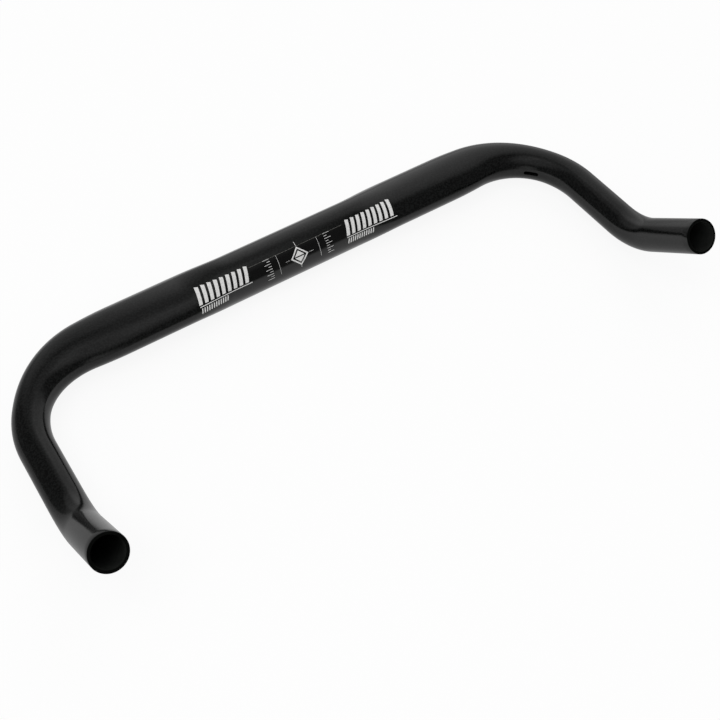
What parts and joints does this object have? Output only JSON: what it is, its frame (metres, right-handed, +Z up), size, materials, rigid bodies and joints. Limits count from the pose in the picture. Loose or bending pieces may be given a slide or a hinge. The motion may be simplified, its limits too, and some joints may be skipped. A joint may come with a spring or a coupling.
{
  "type": "bullhorn handlebar",
  "caption": "Bullhorn bicycle handlebar: a bent aluminium tube with a round clamp zone, flattened wing tops, forward horns and upturned open ends.",
  "frame": {"origin": "middle of the round clamp zone, on the tube's axis", "axes": "+X along the tops to one end, -Y forward along the horns, +Z up, the side to which the ends turn"},
  "size_m": [0.4278, 0.1892, 0.0655],
  "materials": {
    "bar_finish": "gloss black",
    "printed_marks": "flat white print"
  },
  "bodies": {
    "root": {"bar_tube": "bar_finish"}
  },
  "joints": []
}
